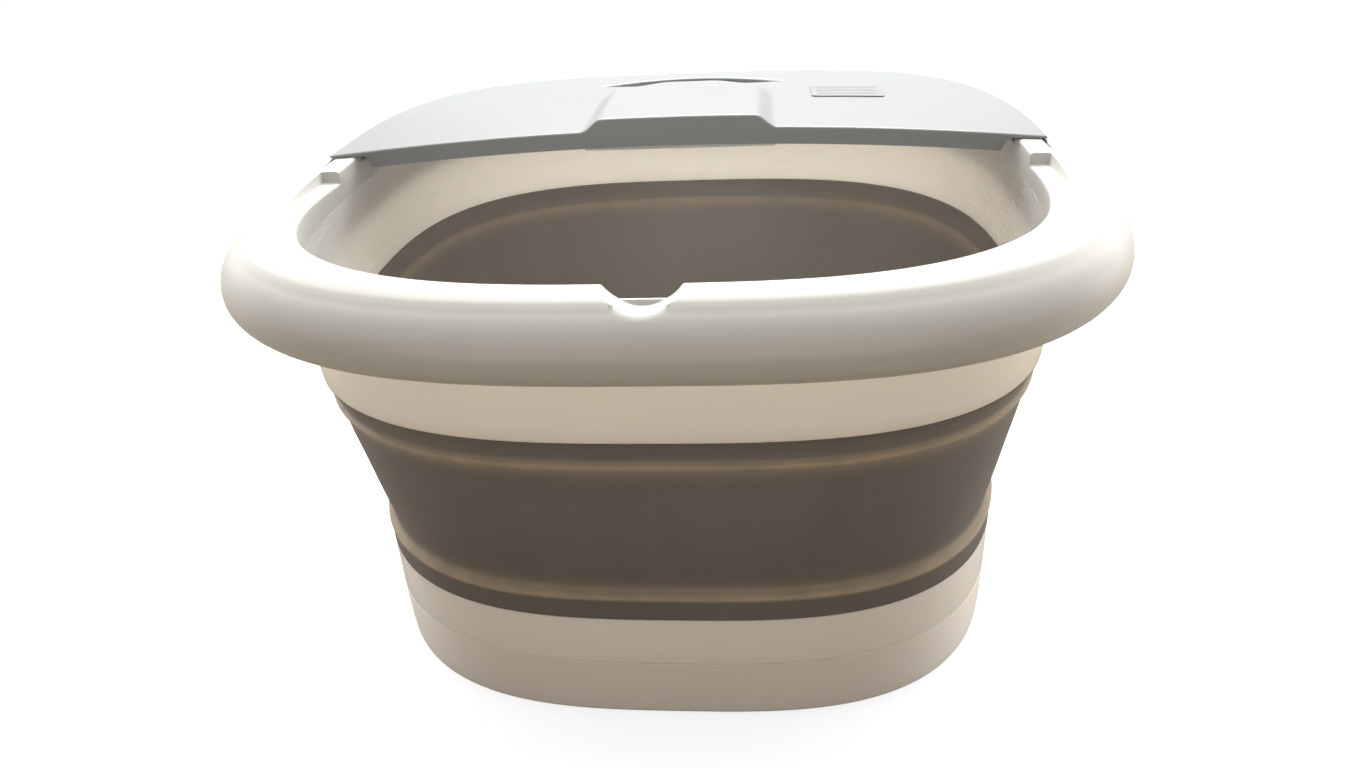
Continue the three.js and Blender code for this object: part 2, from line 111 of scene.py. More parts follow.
def rounded(points, steps=4, closed=True):
    """The profile with each corner turned into a short curve of about the radius the point carries."""
    out = []
    count = len(points)
    for i, point in enumerate(points):
        here = Vector(point[:3])
        r = point[3] if len(point) > 3 else 0.0
        if r <= 0 or (not closed and i in (0, count - 1)):
            out.append(tuple(here))
            continue
        before = Vector(points[i - 1][:3])
        after = Vector(points[(i + 1) % count][:3])
        a, b = before - here, after - here
        cut_a = here + a.normalized() * min(r, a.length * 0.48)
        cut_b = here + b.normalized() * min(r, b.length * 0.48)
        for k in range(steps + 1):
            t = k / steps
            out.append(tuple(cut_a * (1 - t) ** 2 + here * 2 * t * (1 - t) + cut_b * t * t))
    return out


def angles(count=288):
    return [TAU * i / count for i in range(count)]


# ------------------------------------------------------------------ mesh helpers

def new_object(name, mesh):
    obj = bpy.data.objects.new(name, mesh)
    bpy.context.scene.collection.objects.link(obj)
    return obj


def finish_shading(obj, degrees=32):
    mesh = obj.data
    for poly in mesh.polygons:
        poly.use_smooth = True
    mesh.set_sharp_from_angle(angle=math.radians(degrees))


def solid(name, verts, faces, sharp=32):
    """An object from points in mm, welded and facing outwards."""
    mesh = bpy.data.meshes.new(name)
    mesh.from_pydata([(x * MM, y * MM, z * MM) for x, y, z in verts], [], faces)
    bm = bmesh.new()
    bm.from_mesh(mesh)
    bmesh.ops.remove_doubles(bm, verts=bm.verts, dist=2e-6)
    bmesh.ops.dissolve_degenerate(bm, edges=bm.edges, dist=1e-7)
    bmesh.ops.recalc_face_normals(bm, faces=bm.faces)
    bm.to_mesh(mesh)
    bm.free()
    obj = new_object(name, mesh)
    finish_shading(obj, sharp)
    return obj


def ring_solid(name, profile, turns=None, sharp=32, closed=True):
    """Sweeps a profile round the plan outline.

    profile is a list of (half width, half depth, z), or a function of the angle that gives (x, y, z)
    points. A profile that isn't closed starts and ends on the axis.
    """
    turns = turns or angles()
    verts, faces = [], []
    rows = 0
    for angle in turns:
        if callable(profile):
            loop = profile(angle)
        else:
            loop = [(*plan(w, d, angle), z) for w, d, z in profile]
        rows = len(loop)
        verts.extend(loop)
    n = len(turns)
    span = rows if closed else rows - 1
    for i in range(n):
        for j in range(span):
            a = i * rows + j
            b = i * rows + (j + 1) % rows
            c = ((i + 1) % n) * rows + (j + 1) % rows
            d = ((i + 1) % n) * rows + j
            faces.append((a, b, c, d))
    return solid(name, verts, faces, sharp)


def apply_modifiers(obj):
    depsgraph = bpy.context.evaluated_depsgraph_get()
    mesh = bpy.data.meshes.new_from_object(obj.evaluated_get(depsgraph))
    obj.modifiers.clear()
    old = obj.data
    obj.data = mesh
    bpy.data.meshes.remove(old)


def bevel(obj, width, segments=3, degrees=30):
    mod = obj.modifiers.new("bevel", "BEVEL")
    mod.width = width * MM
    mod.segments = segments
    mod.limit_method = "ANGLE"
    mod.angle_limit = math.radians(degrees)
    mod.harden_normals = False
    apply_modifiers(obj)


def cut(obj, *cutters):
    for cutter in cutters:
        mod = obj.modifiers.new("cut", "BOOLEAN")
        mod.operation = "DIFFERENCE"
        mod.solver = "EXACT"
        mod.object = cutter
        apply_modifiers(obj)
        mesh = cutter.data
        bpy.data.objects.remove(cutter)
        bpy.data.meshes.remove(mesh)


def box_mesh(name, low, high):
    verts = [(x, y, z) for x in (low[0], high[0]) for y in (low[1], high[1]) for z in (low[2], high[2])]
    faces = [(0, 1, 3, 2), (4, 6, 7, 5), (0, 4, 5, 1), (2, 3, 7, 6), (0, 2, 6, 4), (1, 5, 7, 3)]
    return solid(name, verts, faces)


def turned(name, profile, centre, axis="z", steps=64):
    """A turned piece: profile is (radius, height) from axis to axis, or a closed ring of them."""
    ring = profile[0][0] > 0
    verts, faces = [], []
    rows = len(profile)
    for i in range(steps):
        a = TAU * i / steps
        for r, h in profile:
            u, v = r * math.cos(a), r * math.sin(a)
            point = {"z": (u, v, h), "y": (u, h, -v), "x": (h, u, v)}[axis]
            verts.append(tuple(p + c for p, c in zip(point, centre)))
    span = rows if ring else rows - 1
    for i in range(steps):
        for j in range(span):
            a = i * rows + j
            b = i * rows + (j + 1) % rows
            c = ((i + 1) % steps) * rows + (j + 1) % rows
            d = ((i + 1) % steps) * rows + j
            faces.append((a, b, c, d))
    return solid(name, verts, faces)


def round_profile(points, steps=4):
    """Rounds the corners of a flat (r, h, radius) profile that starts and ends on the axis."""
    lifted = [(p[0], 0.0, p[1], p[2] if len(p) > 2 else 0.0) for p in points]
    return [(max(0.0, r), h) for r, _, h in rounded(lifted, steps, closed=False)]


def softened(node, width, segments):
    """A copy of a CAD piece with its edges rounded."""
    source = frame["nodes"][node]
    mesh = source.data.copy()
    bm = bmesh.new()
    bm.from_mesh(mesh)
    bmesh.ops.remove_doubles(bm, verts=bm.verts, dist=2e-6)
    bmesh.ops.dissolve_limit(bm, angle_limit=math.radians(0.6), verts=bm.verts, edges=bm.edges)
    bmesh.ops.recalc_face_normals(bm, faces=bm.faces)
    bm.to_mesh(mesh)
    bm.free()
    mesh.materials.clear()
    obj = new_object(node + "_shape", mesh)
    bevel(obj, width, segments)
    finish_shading(obj, 28)
    return obj


BODY_OF = {n: b for b, ns in frame["record"]["behaviour"]["bodies"].items() for n in ns}


def place(obj, material, *nodes, blended=False, body=None):
    """Gives a finished piece its material, hides the CAD nodes it stands for and, unless it is blended,
    parents it to its body.
    """
    obj.data.materials.clear()
    obj.data.materials.append(material)
    if nodes:
        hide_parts(*nodes)
    if not blended:
        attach(obj, body or BODY_OF[nodes[0]])
    return obj


# ------------------------------------------------------------------ materials

class Nodes:
    """A material under construction: a Principled shader and short ways to wire nodes into it."""

    def __init__(self, name, colour, roughness, **sockets):
        self.material = bpy.data.materials.new(name)
        self.material.use_nodes = True
        self.tree = self.material.node_tree
        self.shader = self.tree.nodes["Principled BSDF"]
        self.shader.inputs["Base Color"].default_value = (*colour, 1)
        self.shader.inputs["Roughness"].default_value = roughness
        for key, value in sockets.items():
            self.shader.inputs[key.replace("_", " ")].default_value = value
        self.coord = self.add("ShaderNodeTexCoord").outputs["Object"]
        self.height = None

    def add(self, kind, **values):
        node = self.tree.nodes.new(kind)
        for key, value in values.items():
            setattr(node, key, value)
        return node

    def link(self, a, b):
        self.tree.links.new(a, b)

    def noise(self, scale, detail=3.0, rough=0.5, stretch=None, distortion=0.0):
        node = self.add("ShaderNodeTexNoise")
        node.inputs["Scale"].default_value = scale
        node.inputs["Detail"].default_value = detail
        node.inputs["Roughness"].default_value = rough
        node.inputs["Distortion"].default_value = distortion
        source = self.coord
        if stretch:
            mapping = self.add("ShaderNodeMapping")
            mapping.inputs["Scale"].default_value = stretch
            self.link(self.coord, mapping.inputs["Vector"])
            source = mapping.outputs["Vector"]
        self.link(source, node.inputs["Vector"])
        return node.outputs["Fac"]

    def ramp(self, value, low, high, out_low=0.0, out_high=1.0):
        node = self.add("ShaderNodeMapRange")
        node.inputs["From Min"].default_value = low
        node.inputs["From Max"].default_value = high
        node.inputs["To Min"].default_value = out_low
        node.inputs["To Max"].default_value = out_high
        self.link(value, node.inputs["Value"])
        return node.outputs["Result"]

    def maths(self, operation, a, b=None):
        node = self.add("ShaderNodeMath", operation=operation)
        for socket, value in zip(node.inputs, (a, b)):
            if value is None:
                continue
            if isinstance(value, (int, float)):
                socket.default_value = value
            else:
                self.link(value, socket)
        return node.outputs[0]

    def tint(self, factor, low, high):
        """A colour that runs from low to high with the factor."""
        node = self.add("ShaderNodeMix", data_type="RGBA")
        self.link(factor, node.inputs[0])
        node.inputs[6].default_value = (*low, 1)
        node.inputs[7].default_value = (*high, 1)
        return node.outputs[2]

    def over(self, factor, base, top):
        """top laid over base where the factor is high; base is a socket, top a colour."""
        node = self.add("ShaderNodeMix", data_type="RGBA")
        self.link(factor, node.inputs[0])
        self.link(base, node.inputs[6])
        node.inputs[7].default_value = (*top, 1)
        return node.outputs[2]

    def attribute(self, name):
        return self.add("ShaderNodeAttribute", attribute_name=name).outputs["Fac"]

    def colour(self, socket):
        self.link(socket, self.shader.inputs["Base Color"])
        return self

    def roughness(self, socket):
        self.link(socket, self.shader.inputs["Roughness"])
        return self

    def bump(self, socket, depth, strength=1.0):
        node = self.add("ShaderNodeBump")
        node.inputs["Strength"].default_value = strength
        node.inputs["Distance"].default_value = depth
        self.link(socket, node.inputs["Height"])
        if self.height:
            self.link(self.height, node.inputs["Normal"])
        self.height = node.outputs["Normal"]
        self.link(self.height, self.shader.inputs["Normal"])
        return self


def let_light_through(m, colour, share):
    """Thin wall: a share of the light that falls on one side comes out of the other."""
    through = m.add("ShaderNodeBsdfTranslucent")
    through.inputs["Color"].default_value = (*colour, 1)
    mix = m.add("ShaderNodeMixShader")
    mix.inputs[0].default_value = share
    m.link(m.shader.outputs[0], mix.inputs[1])
    m.link(through.outputs[0], mix.inputs[2])
    m.link(mix.outputs[0], m.tree.nodes["Material Output"].inputs["Surface"])


def gloss_plastic(name, colour, shade, roughness, wear, through=None, share=0.0):
    """Polished moulded plastic: slight colour drift, soft flow marks, orange peel and hairline wear."""
    m = Nodes(name, colour, roughness, Specular_IOR_Level=0.5)
    drift = m.ramp(m.noise(9, 4, 0.55, distortion=0.4), 0.1, 0.9)
    base = m.tint(drift, colour, shade)
    specks = m.ramp(m.noise(900, 2, 0.6), 0.74, 0.8, 0, 0.25)
    base = m.over(specks, base, tuple(c * 0.82 for c in shade))
    m.colour(base)
    scuffs = m.ramp(m.noise(60, 6, 0.7, stretch=(1, 1, 7), distortion=0.5), 0.4, 0.9, 0, 0.05 * wear)
    haze = m.ramp(m.noise(14, 3), 0.1, 0.9, roughness - 0.03, roughness + 0.05)
    m.roughness(m.maths("ADD", haze, scuffs))
    m.bump(m.noise(240, 2, 0.4), 0.00004, 0.5)
    m.bump(m.noise(26, 2, 0.4), 0.0003, 0.35)
    if through:
        let_light_through(m, through, share)
    return m.material


def elastomer(name, colour, dust, highlight_colour):
    """Soft matt rubber with a fine grain and a painted highlight: paler colour on its raised folds."""
    m = Nodes(name, colour, 0.5, Specular_IOR_Level=0.42)
    cloud = m.ramp(m.noise(12, 5, 0.6, distortion=0.8), 0.3, 0.75)
    base = m.tint(cloud, colour, dust)
    streaks = m.ramp(m.noise(45, 5, 0.65, stretch=(1, 1, 0.12), distortion=0.6), 0.52, 0.72, 0, 0.3)
    base = m.over(streaks, base, tuple(c * 1.18 for c in dust))
    # painted highlight: the fold shoulders, which face the light, get the paler highlight colour, broken up
    # by noise
    highlight_mask = m.maths("MULTIPLY", m.attribute("fold"), m.ramp(m.noise(70, 4), 0.25, 0.6, 0.65, 1.0))
    base = m.over(highlight_mask, base, highlight_colour)
    m.colour(base)
    grain = m.noise(1500, 2, 0.6)
    m.roughness(m.ramp(m.noise(30, 4, 0.6), 0.3, 0.7, 0.44, 0.58))
    m.bump(grain, 0.00012, 0.5)
    m.bump(m.noise(38, 3, 0.5, stretch=(1, 1, 0.4)), 0.0009, 0.4)
    let_light_through(m, (0.46, 0.42, 0.37), 0.25)
    return m.material


def matt_plastic(name, colour, shade, roughness=0.42, grain=700, depth=0.00008):
    """Spark-textured moulded plastic."""
    m = Nodes(name, colour, roughness, Specular_IOR_Level=0.45)
    m.colour(m.tint(m.ramp(m.noise(25, 4), 0.3, 0.7), colour, shade))
    m.roughness(m.ramp(m.noise(80, 4, 0.6), 0.3, 0.7, roughness - 0.06, roughness + 0.08))
    m.bump(m.noise(grain, 3, 0.7), depth, 0.6)
    return m.material


def metal(name, colour, roughness=0.3, stretch=(1, 40, 40)):
    """Drawn or rolled metal with fine marks along one direction."""
    m = Nodes(name, colour, roughness, Metallic=1.0)
    lines = m.noise(300, 3, 0.6, stretch=stretch)
    m.colour(m.tint(m.ramp(m.noise(40, 4), 0.3, 0.7), colour, tuple(c * 0.8 for c in colour)))
    m.roughness(m.ramp(lines, 0.3, 0.7, roughness - 0.08, roughness + 0.12))
    m.bump(lines, 0.00003, 0.5)
    return m.material


def circuit_board(name):
    m = Nodes(name, (0.02, 0.16, 0.07), 0.35, Specular_IOR_Level=0.5)
    tracks = m.add("ShaderNodeTexBrick", offset=0.37)
    tracks.inputs["Scale"].default_value = 320
    tracks.inputs["Mortar Size"].default_value = 0.03
    tracks.inputs["Color1"].default_value = (0.02, 0.16, 0.07, 1)
    tracks.inputs["Color2"].default_value = (0.03, 0.20, 0.09, 1)
    tracks.inputs["Mortar"].default_value = (0.05, 0.28, 0.12, 1)
    m.link(m.coord, tracks.inputs["Vector"])
    m.colour(tracks.outputs["Color"])
    m.roughness(m.ramp(m.noise(200, 3), 0.3, 0.7, 0.28, 0.45))
    m.bump(m.noise(600, 2), 0.00005, 0.5)
    return m.material


def label_film(name):
    """A blank printed film: pale grey with three faint plain bars."""
    m = Nodes(name, (0.62, 0.63, 0.63), 0.45, Specular_IOR_Level=0.4)
    ink = m.ramp(m.noise(420, 4, 0.7), 0.4, 0.62, 0.35, 1.0)
    mask = m.maths("MULTIPLY", m.attribute("bar"), ink)
    base = m.tint(m.ramp(m.noise(120, 3), 0.3, 0.7), (0.255, 0.262, 0.26), (0.245, 0.252, 0.25))
    m.colour(m.over(mask, base, (0.13, 0.134, 0.134)))
    m.roughness(m.ramp(m.noise(150, 3), 0.3, 0.7, 0.38, 0.5))
    m.bump(m.noise(900, 2), 0.00002, 0.5)
    return m.material


RIM_WHITE = gloss_plastic("rim_white", (0.60, 0.595, 0.57), (0.585, 0.575, 0.545), 0.32, 0.4)
WALL_WHITE = gloss_plastic(
    "wall_white", (0.96, 0.925, 0.88), (0.94, 0.90, 0.85), 0.22, 0.8, (1.0, 0.96, 0.90), 0.25)
COLLAR_WHITE = gloss_plastic(
    "collar_white", (0.72, 0.68, 0.62), (0.70, 0.65, 0.59), 0.18, 0.8, (1.0, 0.95, 0.87), 0.4)
# painted light: a lighter copy of the white plastic for the inward faces and floor, so the inside reads
# brighter than the outside
INNER_WHITE_PAINTED_LIGHT = gloss_plastic(
    "inner_white_painted_light", (0.97, 0.955, 0.93), (0.95, 0.935, 0.905), 0.25, 0.6, (1.0, 0.97, 0.92), 0.3)
BASE_WHITE = gloss_plastic("base_white", (0.93, 0.885, 0.835), (0.91, 0.86, 0.80), 0.28, 1.0)
DECK_WHITE = gloss_plastic("deck_white", (0.275, 0.288, 0.287), (0.265, 0.278, 0.277), 0.36, 0.6)
# the last colour is the painted highlight on the band's fold shoulders
BAND_GREY = elastomer("band_grey", (0.190, 0.178, 0.166), (0.215, 0.203, 0.190), (0.56, 0.46, 0.34))
# painted light: a lighter copy of the band's grey for its inward faces; the last colour is the painted
# highlight on the fold shoulders
INNER_GREY_PAINTED_LIGHT = elastomer("inner_grey_painted_light", (0.37, 0.35, 0.33), (0.40, 0.38, 0.36), (0.66, 0.57, 0.45))
ROLLER_GREY = matt_plastic("roller_grey", (0.42, 0.41, 0.385), (0.38, 0.37, 0.35))
BUTTON_GREY = matt_plastic("button_grey", (0.50, 0.495, 0.48), (0.46, 0.455, 0.44), 0.36)
DARK_PLASTIC = matt_plastic("dark_plastic", (0.028, 0.028, 0.031), (0.04, 0.04, 0.043), 0.48)
FOOT_RUBBER = matt_plastic("foot_rubber", (0.045, 0.044, 0.043), (0.065, 0.063, 0.06), 0.72, 900, 0.00015)
STEEL = metal("plated_steel", (0.60, 0.60, 0.61), 0.26)
PIN_STEEL = metal("pin_steel", (0.66, 0.63, 0.56), 0.22, (40, 1, 40))
ALUMINIUM = metal("sheet_aluminium", (0.68, 0.69, 0.70), 0.36, (40, 1, 40))
BOARD_GREEN = circuit_board("board_green")
LABEL_FILM = label_film("label_film")


def paint_light_inside(obj, material):
    """Gives the faces that look towards the middle of the basin, and its floor, a second material: a
    lighter copy, painted light that brightens the basin's inside.
    """
    inward = -0.2
    upward = 0.9
    floor_reach = 50 * MM
    obj.data.materials.append(material)
    for poly in obj.data.polygons:
        x, y, z = poly.center
        wall = poly.normal.x * x + poly.normal.y * y < inward * math.hypot(x, y)
        floor = poly.normal.z > upward and z < floor_reach
        if wall or floor:
            poly.material_index = 1


# ------------------------------------------------------------------ rim frame

ROLL_W = 19.6
ROLL_CENTRE = RIM_BOTTOM + 14.8
ROLL_H = 14.9
SKIN = 2.6
INNER_W, INNER_D = 166.0, 168.5
SIDE_TOP = 230.5
SKIRT_Z = 216.0
LEDGE_Y = -21.0
SLIT_Y = -12.0
SEAT_Y = 9.0
SEAT_Z = 227.0
FRONT_CURVE = 0.0225
FRONT_SWELL = 4.9
ROLL_END = 58
SCOOP_R = 17.0
SCOOP_TILT = math.radians(-10)
SCOOP_Y = -178.0
SCOOP_AXIS_Z = 244.2
SCOOP_LIP_Z = 227.5
NO_SCOOP = 400.0


def rim_depth(width):
    """The half depth that goes with a half width on the rim's top, narrower at the front and rear."""
    if width >= 180:
        return width - 10
    return lerp(170.0, INNER_D, (180 - width) / (180 - INNER_W))


def rim_turns():
    """Angles round the rim, closer together at the scoop and at the ends of the side ledges."""
    out = set(round(a, 6) for a in angles(300))
    front = 1.5 * math.pi
    for i in range(-60, 61):
        out.add(round(front + i * 0.4 / INNER_D, 6))
    for y in (LEDGE_Y, SLIT_Y, SEAT_Y):
        for i in range(-7, 8):
            rise = (y + i * 0.22) / INNER_D
            out.add(round(rise % TAU, 6))
            out.add(round(math.pi - rise, 6))
    kept = []
    for a in sorted(out):
        if not kept or a - kept[-1] > 0.0006:
            kept.append(a)
    return kept


def scoop_height(x, y):
    """Height of the pouring scoop's floor, or well above the rim where there is no scoop."""
    if abs(x) >= SCOOP_R - 0.02 or y > -140:
        return NO_SCOOP
    axis = SCOOP_AXIS_Z + (y - SCOOP_Y) * math.tan(SCOOP_TILT)
    return axis - math.sqrt(SCOOP_R ** 2 - x * x) / math.cos(SCOOP_TILT)


def rim_clamp(x, y, z, drop=0.0):
    """Lowers a point to the pouring scoop where the scoop passes under it."""
    floor = scoop_height(x, y)
    if floor == NO_SCOOP:
        return z
    lip = smooth(-170.2, -169.4, y)
    floor = lerp(floor, max(floor, SCOOP_LIP_Z), lip)
    return soft_min(z, floor - drop, 0.7)


def front_share(y):
    """How much of the front's higher, rounder section the rim has at a depth."""
    return smooth(-60, -160, y)


TOP_LINE = [(185.5, 227.3), (180.5, 229.3), (176.0, 230.2), (168.0, 230.5), (INNER_W, 230.3)]


def rim_top_line(width):
    for (w0, z0), (w1, z1) in zip(TOP_LINE, TOP_LINE[1:]):
        if width >= w1:
            return lerp(z0, z1, (w0 - width) / (w0 - w1))
    return TOP_LINE[-1][1]


def rim_top(width, y):
    """Height of the rim's top surface at a half width: outer rise, side ledge, boss, slit and deck seat."""
    crown = RIM_TOP - FRONT_CURVE * (rim_depth(width) - INNER_D) ** 2
    z = lerp(rim_top_line(width), crown, front_share(y))
    ledge = 225 + 8.2 * max(0.0, LEDGE_Y - y) / 120
    inside = smooth(175.5, 174.5, width) * smooth(LEDGE_Y + 0.5, LEDGE_Y - 0.5, y)
    z = lerp(z, soft_min(z, ledge, 0.5), inside)
    slit = smooth(179.1, 178.6, width) * smooth(177.2, 177.7, width)
    z -= 3.2 * slit * smooth(SLIT_Y - 0.6, SLIT_Y + 0.4, y) * smooth(SEAT_Y + 1, SEAT_Y, y)
    seat = smooth(180.6, 180.0, width) * smooth(SEAT_Y - 0.1, SEAT_Y + 0.5, y)
    return lerp(z, min(z, SEAT_Z), seat)


TOP_WIDTHS = [189.2, 187.6, 186, 184.4, 183.2, 182, 181.2, 180.7, 180.3, 179.9, 179.4, 179.0, 178.7, 178.2,
              177.6, 177.3, 176.9, 176.2, 175.7, 175.4, 175.1, 174.8, 174.5, 174.1, 173.2, 172, 170.8,
              169.6, 168.6, 167.8]
EDGE_ROUND = [(1.1, 0.05), (0.6, 0.25), (0.25, 0.6), (0.05, 1.1), (0.0, 1.8)]


def rim_profile(angle):
    """The rim's closed section at an angle: roll, top, inner edge, skirt, then the underside."""
    loop = []

    def put(width, depth, z, drop=0.0):
        x, y = plan(width, depth, angle)
        loop.append((x, y, rim_clamp(x, y, z, drop)))

    for k in range(24):
        a = math.radians(lerp(-97, ROLL_END, k / 23))
        d = -ROLL_W + ROLL_W * math.cos(a)
        height = ROLL_H
        if a > 0:
            height += FRONT_SWELL * front_share(plan(HALF_W + d, HALF_D + d, angle)[1])
        put(HALF_W + d, HALF_D + d, ROLL_CENTRE + height * math.sin(a))
    for width in TOP_WIDTHS:
        x, y = plan(width, rim_depth(width), angle)
        loop.append((x, y, rim_clamp(x, y, rim_top(width, y))))
    x, y = plan(INNER_W, INNER_D, angle)
    edge = rim_top(INNER_W + 0.5, y)
    for across, down in EDGE_ROUND:
        depth = lerp(INNER_D + across, rim_depth(INNER_W + across), front_share(y))
        put(INNER_W + across, depth, edge - down)
    put(INNER_W + 0.2, INNER_D - 0.3, min(edge - 3, 222))
    put(INNER_W + 0.6, INNER_D - 0.9, SKIRT_Z)
    put(INNER_W + 3.2, INNER_D + 1.9, SKIRT_Z, 0.2)
    put(INNER_W + 3.2, INNER_D + 1.9, min(edge - 4.6, 221.4), SKIN)
    for width in (171.5, 174.2, 175.6, 178, 180.4, 182.6):
        x, y = plan(width, rim_depth(width) - 0.4, angle)
        z = min(rim_top(width, y), rim_top(width + 1.5, y)) - SKIN
        loop.append((x, y, rim_clamp(x, y, z, SKIN)))
    for k in range(12):
        a = math.radians(lerp(ROLL_END, -94, k / 11))
        d = -ROLL_W + (ROLL_W - SKIN) * math.cos(a)
        put(HALF_W + d, HALF_D + d, ROLL_CENTRE + (ROLL_H - SKIN) * math.sin(a), SKIN)
    return loop


def make_rim():
    rim = ring_solid("rim_shell", rim_profile, rim_turns(), 40)
    place(rim, RIM_WHITE, "rim_frame")


# ------------------------------------------------------------------ walls

def make_collar():
    profile = rounded([
        (173.1, 163.1, BAND_HIGH[2] + SEAM, 0.5),
        (173.4, 165.4, 188, 4),
        (170.6, 169.2, 212, 1),
        (191, 181, 212.6, 0.8),
        (191, 181, SKIRT_Z - 0.12, 0.6),
        (166.6, 167.6, SKIRT_Z - 0.12, 0.15),
        (169.4, 163.6, 188, 8),
        (170.1, 160.1, BAND_HIGH[2] + SEAM, 0.4),
    ], 5)
    collar = ring_solid("upper_wall", profile)
    place(collar, COLLAR_WHITE, "upper_collar")
    paint_light_inside(collar, INNER_WHITE_PAINTED_LIGHT)


BAND_OUTER = [
    (-39.4, 60.7, 0.3), (-39.7, 66.0, 2), (-39.6, 70.6, 1.2), (-38.9, 72.4, 0.9), (-39.9, 74.3, 0.9),
    (-42.0, 76.4, 1.5), (-41.2, 84.0, 5), (-38.4, 100.0, 12), (-35.0, 122.0, 12), (-32.3, 138.0, 7),
    (-31.4, 146.6, 1.8), (-29.6, 149.0, 1.2), (-29.0, 150.8, 0.9), (-30.4, 152.6, 1.0), (-30.2, 155.6, 2),
    (-28.0, 160.6, 2), (-26.9, 163.2, 0.3),
]
BAND_INNER = [
    (-29.9, 163.2, 0.3), (-30.6, 160.6, 2), (-32.6, 155.6, 2), (-32.2, 153.4, 0.8), (-33.6, 151.4, 0.9),
    (-33.9, 146.6, 2), (-34.7, 138.0, 7), (-37.4, 122.0, 12), (-40.8, 100.0, 12), (-43.6, 84.0, 5),
    (-44.3, 78.0, 1.5), (-42.9, 75.6, 0.9), (-42.2, 73.4, 0.9), (-42.3, 66.0, 2), (-42.4, 60.7, 0.3),
]


def dense(points, step):
    """The same line with no stretch longer than step."""
    out = []
    for a, b in zip(points, points[1:] + points[:1]):
        va, vb = Vector(a), Vector(b)
        pieces = max(1, math.ceil((vb - va).length / step))
        out.extend(tuple(va.lerp(vb, k / pieces)) for k in range(pieces))
    return out


def painted_shoulder_highlight(z):
    """How strong the painted highlight is at a height: most on the shoulders, fading into the panel
    between.
    """
    upper = math.exp(-((z - 151.2) / (1.6 if z > 151.2 else 5.0)) ** 2)
    lower = math.exp(-((z - 73.2) / (4.5 if z > 73.2 else 1.6)) ** 2)
    return max(upper, lower)


def make_band():
    low, high = BAND_LOW[2], BAND_HIGH[2]
    line = [inset(d, min(high, max(low, z)), r) for d, z, r in BAND_OUTER + BAND_INNER]
    profile = dense(rounded(line, 5), 2.2)
    band = ring_solid("folding_wall", profile, angles(300), 60)
    # the fold attribute carries the painted highlight on the shoulders
    values = [painted_shoulder_highlight(v.co.z / MM) for v in band.data.vertices]
    band.data.attributes.new("fold", "FLOAT", "POINT").data.foreach_set("value", values)
    place(band, BAND_GREY, "folding_band", blended=True)
    paint_light_inside(band, INNER_GREY_PAINTED_LIGHT)
    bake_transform(band)


def make_tub():
    seam = SHELL_TOP + SEAM
    profile = rounded([
        (0, 0, 35.0),
        (148, 138, 35.0, 3),
        (157.4, 147.4, seam, 0.2),
        (160.9, 150.9, seam, 0.5),
        (160.6, 150.6, TUB_TOP, 0.4),
        (157.6, 147.6, TUB_TOP, 0.4),
        (157.2, 147.2, 46, 6),
        (152, 142, 38.0, 7),
        (0, 0, 38.0),
    ], 6, closed=False)
    tub = ring_solid("lower_wall", profile, closed=False)
    place(tub, WALL_WHITE, "lower_tub")
    paint_light_inside(tub, INNER_WHITE_PAINTED_LIGHT)
    ears()


ROLLERS = [n for n in frame["nodes"] if n.startswith("roller_") and "axle" not in n]


POST_R = 7.0
POST_THICK = 6.0
POST_GAP = 1.2
POST_FOOT_Z = 37.6
POST_HOLE_R = 3.12


def ears():
    """The bearing posts that hold the roller axles, standing on the tub floor."""
    for node in sorted(ROLLERS):
        low, high = node_box(node)
        y = (low[1] + high[1]) / 2
        z = (low[2] + high[2]) / 2
        for side, x in ((-1, low[0] - POST_GAP), (1, high[0] + POST_GAP)):
            x0, x1 = (x - POST_THICK, x) if side < 0 else (x, x + POST_THICK)
            outline = [(y - POST_R, POST_FOOT_Z)]
            for k in range(19):
                a = math.pi - math.pi * k / 18
                outline.append((y + POST_R * math.cos(a), z - 2 + POST_R * math.sin(a)))
            outline.append((y + POST_R, POST_FOOT_Z))
            n = len(outline)
            verts = [(x0, u, v) for u, v in outline] + [(x1, u, v) for u, v in outline]
            faces = [tuple(range(n)), tuple(range(2 * n - 1, n - 1, -1))]
            faces += [(k, (k + 1) % n, n + (k + 1) % n, n + k) for k in range(n)]
            post = solid(f"post_{node[-1]}_{'left' if side < 0 else 'right'}", verts, faces)
            hole = [(0, -20), (POST_HOLE_R, -20), (POST_HOLE_R, 20), (0, 20)]
            cut(post, turned("hole", hole, ((x0 + x1) / 2, y, z), "x", 40))
            bevel(post, 0.5, 3)
            finish_shading(post)
            place(post, WALL_WHITE, body="base")


# ------------------------------------------------------------------ base

BUTTONS = ("power_button", "mode_button")


